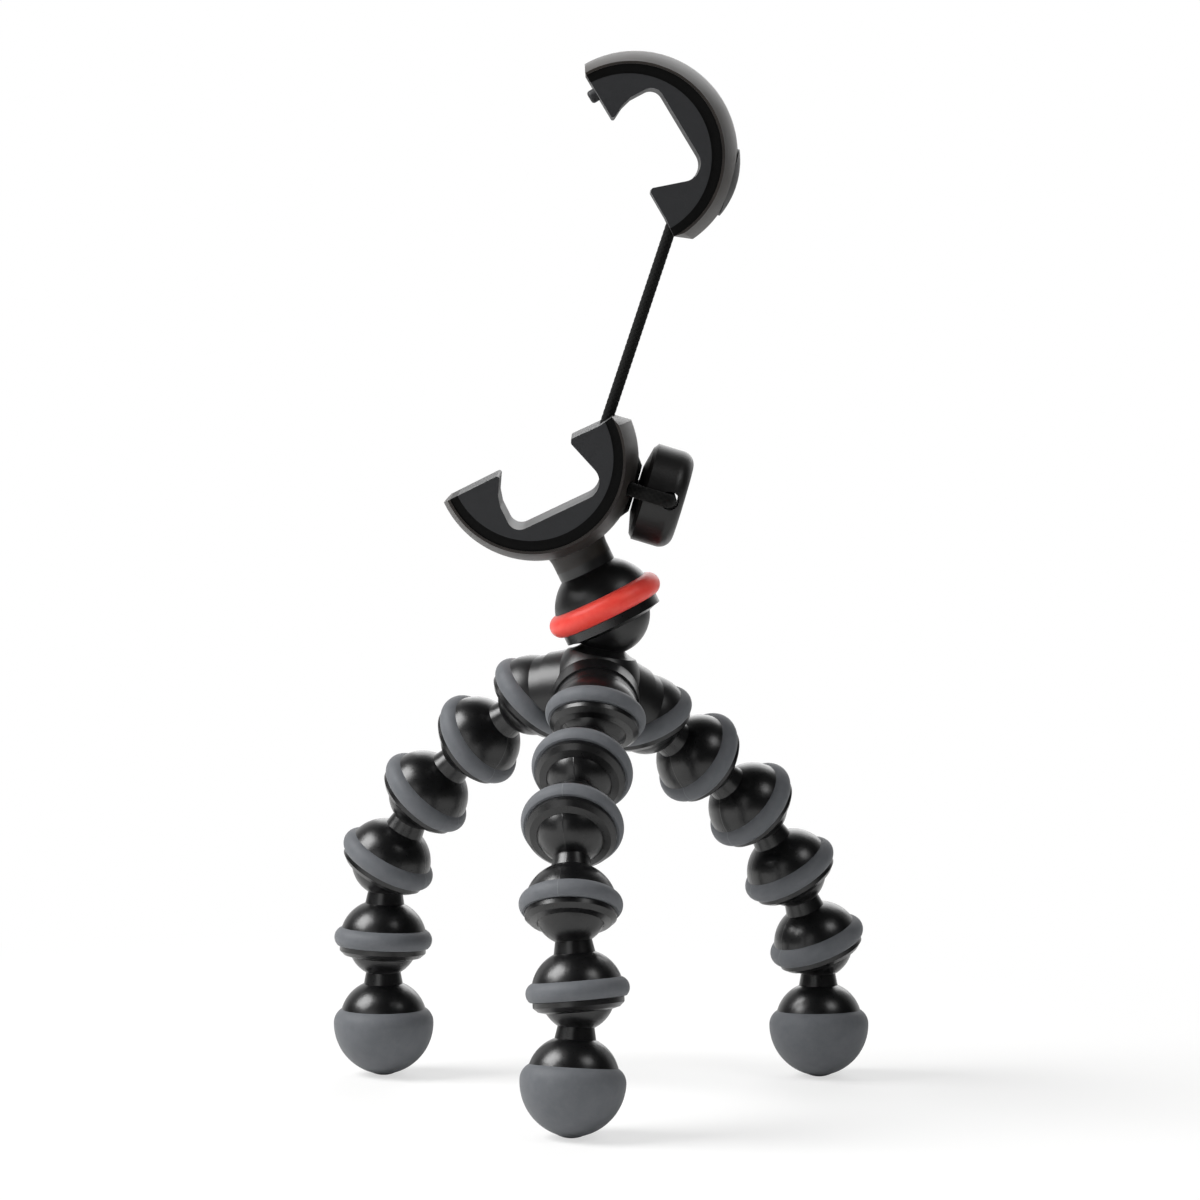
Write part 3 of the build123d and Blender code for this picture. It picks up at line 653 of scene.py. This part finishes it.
class TRIPOD_OT_stage(bpy.types.Operator):
    """Set the floor, the soft lights, the pale surroundings and the camera"""

    bl_idname = "tripod.stage"
    bl_label = "Stage"

    def execute(self, context):
        colours = context.scene.tripod_colours
        scene = context.scene
        scene.view_settings.view_transform = "Standard"

        deselect()
        bpy.ops.mesh.primitive_plane_add(size=FLOOR_SIDE, location=(0, 0, 0))
        floor = context.object
        floor.name = "floor"
        paint, shader = new_material("matt white card", **{"Roughness": MATT["floor"]})
        shader.inputs["Base Color"].default_value = colours.floor
        glow = add_node(paint, "ShaderNodeEmission", {"Color": (1.0, 1.0, 1.0, 1.0)})
        place = add_node(paint, "ShaderNodeTexCoord")
        away = add_node(
            paint, "ShaderNodeVectorMath", {0: place.outputs["Object"]}, operation="LENGTH"
        )
        fade = add_node(
            paint, "ShaderNodeMapRange",
            {"Value": away.outputs["Value"], "From Min": SHADE_NEAR, "From Max": SHADE_FAR,
             "To Min": SHADE_GLOW, "To Max": 1.0},
            interpolation_type="SMOOTHSTEP",
        )
        rays = add_node(paint, "ShaderNodeLightPath")
        seen = add_node(
            paint, "ShaderNodeMath",
            {0: rays.outputs["Is Camera Ray"], 1: fade.outputs["Result"]}, operation="MULTIPLY",
        )
        mixed = add_node(
            paint, "ShaderNodeMixShader",
            {0: seen.outputs["Value"], 1: shader.outputs["BSDF"], 2: glow.outputs["Emission"]},
        )
        output = next(n for n in paint.node_tree.nodes if n.type == "OUTPUT_MATERIAL")
        join(paint, mixed.outputs["Shader"], output, "Surface")
        floor.data.materials.append(paint)

        # White to the camera, and behind the object to a reflection. The room in front is dim.
        world = bpy.data.worlds.new("white backdrop, dim room")
        scene.world = world
        world.use_nodes = True
        world.node_tree.nodes.clear()
        rays = add_node(world, "ShaderNodeLightPath")
        way = add_node(world, "ShaderNodeTexCoord")
        parts = add_node(world, "ShaderNodeSeparateXYZ", {"Vector": way.outputs["Generated"]})
        behind = add_node(
            world, "ShaderNodeMapRange",
            {"Value": parts.outputs["Y"], "From Min": 0.3, "From Max": 0.95,
             "To Min": ROOM_MIRRORED, "To Max": 1.0},
            interpolation_type="SMOOTHSTEP",
        )
        mirrored = add_node(
            world, "ShaderNodeMix",
            {0: rays.outputs["Is Glossy Ray"], 2: ROOM_LIGHT, 3: behind.outputs["Result"]},
        )
        clear = add_node(
            world, "ShaderNodeMath",
            {0: rays.outputs["Is Camera Ray"], 1: rays.outputs["Is Transmission Ray"]},
            operation="MAXIMUM",
        )
        strength = add_node(
            world, "ShaderNodeMix",
            {0: clear.outputs["Value"], 2: mirrored.outputs[0], 3: 1.0},
        )
        sky = add_node(
            world, "ShaderNodeBackground",
            {"Color": (1.0, 1.0, 1.0, 1.0), "Strength": strength.outputs[0]},
        )
        add_node(world, "ShaderNodeOutputWorld", {"Surface": sky.outputs["Background"]})

        aim = Vector(LAMP_AIM)
        for name, place, size, power in LAMPS:
            lamp = bpy.data.lights.new(name, "AREA")
            lamp.shape = "SQUARE"
            lamp.size = size
            lamp.energy = power
            light = bpy.data.objects.new(name, lamp)
            scene.collection.objects.link(light)
            light.location = place
            light.rotation_euler = (Vector(place) - aim).to_track_quat("Z", "Y").to_euler()

        lens = bpy.data.cameras.new("camera")
        lens.lens = LENS_MM
        lens.sensor_width = FRAME_MM
        lens.clip_end = 10.0
        camera = bpy.data.objects.new("camera", lens)
        scene.collection.objects.link(camera)
        camera.location = [distance * MM for distance in CAMERA_MM]
        camera.rotation_euler = [radians(angle) for angle in CAMERA_DEGREES]
        scene.camera = camera
        return {"FINISHED"}


class TRIPOD_PT_panel(bpy.types.Panel):
    """The tripod's sizes, colours and pieces"""

    bl_idname = "TRIPOD_PT_panel"
    bl_label = "Flexible Leg Tripod"
    bl_space_type = "VIEW_3D"
    bl_region_type = "UI"
    bl_category = "Tripod"

    def draw(self, context):
        layout = self.layout
        for group in (context.scene.tripod_sizes, context.scene.tripod_colours):
            box = layout.box()
            for key in group.__annotations__:
                box.prop(group, key)
        for operator in OPERATORS:
            layout.operator(operator.bl_idname)


OPERATORS = (
    TRIPOD_OT_legs, TRIPOD_OT_head, TRIPOD_OT_jaws, TRIPOD_OT_toggle, TRIPOD_OT_cords,
    TRIPOD_OT_stage,
)
CLASSES = (TripodSizes, TripodColours, *OPERATORS, TRIPOD_PT_panel)


def register():
    for cls in CLASSES:
        bpy.utils.register_class(cls)
    bpy.types.Scene.tripod_sizes = bpy.props.PointerProperty(type=TripodSizes)
    bpy.types.Scene.tripod_colours = bpy.props.PointerProperty(type=TripodColours)


def unregister():
    del bpy.types.Scene.tripod_colours
    del bpy.types.Scene.tripod_sizes
    for cls in reversed(CLASSES):
        bpy.utils.unregister_class(cls)


def main():
    register()
    bpy.ops.tripod.legs()
    bpy.ops.tripod.head()
    bpy.ops.tripod.jaws()
    bpy.ops.tripod.toggle()
    bpy.ops.tripod.cords()
    bpy.ops.tripod.stage()


if __name__ == "__main__":
    main()
